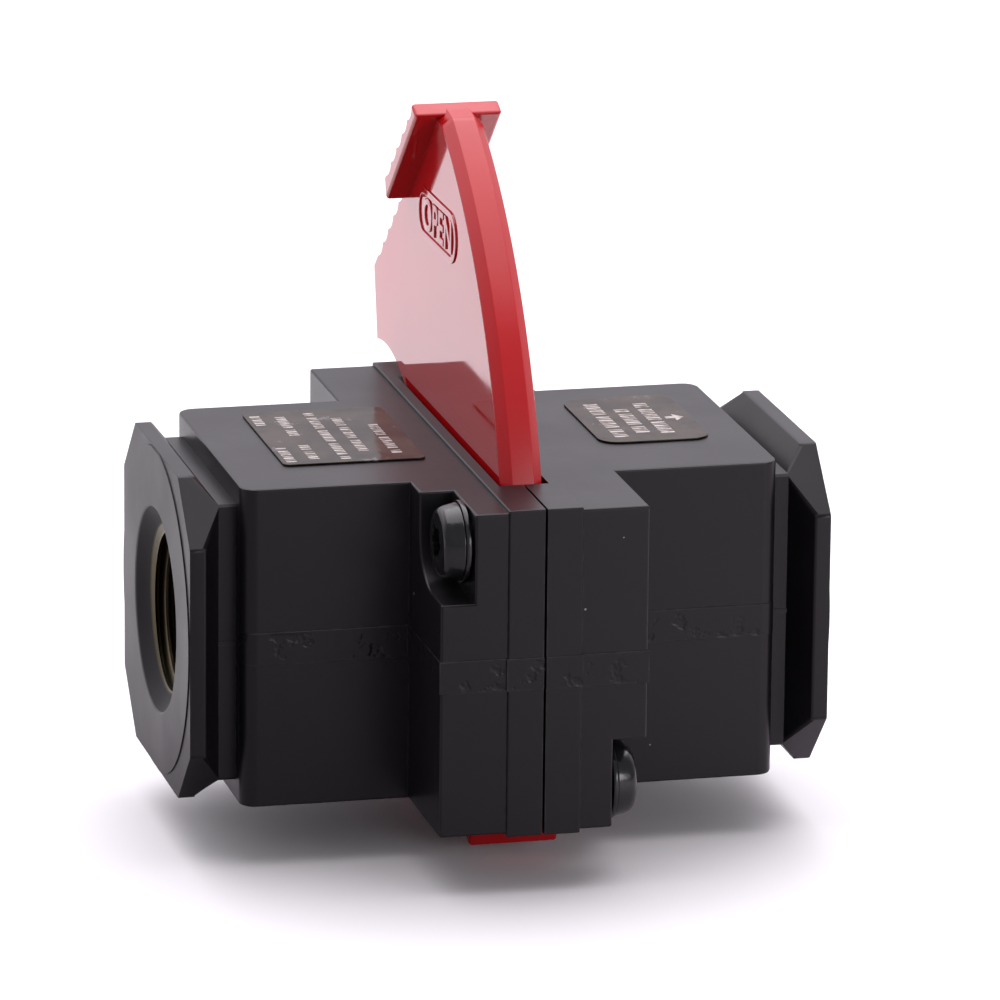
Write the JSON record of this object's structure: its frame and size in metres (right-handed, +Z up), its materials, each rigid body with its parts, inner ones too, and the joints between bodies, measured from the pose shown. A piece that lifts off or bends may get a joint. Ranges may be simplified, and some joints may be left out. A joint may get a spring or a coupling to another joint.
{
  "type": "in-line shut-off slide valve",
  "caption": "In-line shut-off and vent valve for compressed air: a cast body bolted from two halves, with a curved red slide that runs through it between two threaded ports.",
  "frame": {"origin": "where the bore's axis crosses the plane between the two halves", "axes": "+X along the bore from inlet to outlet, -Y the front, +Z up, towards the slide's upper pad"},
  "size_m": [0.08, 0.0808, 0.0863],
  "materials": {
    "black_cast_body": "satin black paint on a die casting",
    "red_slide_plastic": "glossy moulded",
    "seat_plastic": "turned, low-friction plastic",
    "seal_rubber": "moulded, matt",
    "black_screw_steel": "black oxide, oiled",
    "bright_pin_steel": "ground",
    "label_foil": "printed metallised film"
  },
  "bodies": {
    "valve_body": {"inlet_body": "black_cast_body", "outlet_body": "black_cast_body", "inlet_seat_ring": "seat_plastic", "outlet_seat_ring": "seat_plastic", "inlet_o_ring": "seal_rubber", "outlet_o_ring": "seal_rubber", "inlet_front_screw": "black_screw_steel", "inlet_rear_screw": "black_screw_steel", "outlet_front_screw": "black_screw_steel", "outlet_rear_screw": "black_screw_steel", "inlet_front_washer": "black_screw_steel", "inlet_rear_washer": "black_screw_steel", "outlet_front_washer": "black_screw_steel", "outlet_rear_washer": "black_screw_steel", "front_dowel": "bright_pin_steel", "rear_dowel": "bright_pin_steel", "rating_label": "label_foil", "vent_label": "label_foil"},
    "slide": {"shutoff_slide": "red_slide_plastic"}
  },
  "joints": [
    {"name": "slide_swing", "type": "hinge", "parent": "valve_body", "child": "slide", "pos_m": [0, 0.0375, 0], "axis": [1, 0, 0], "range_deg": [0, 42.8]}
  ]
}
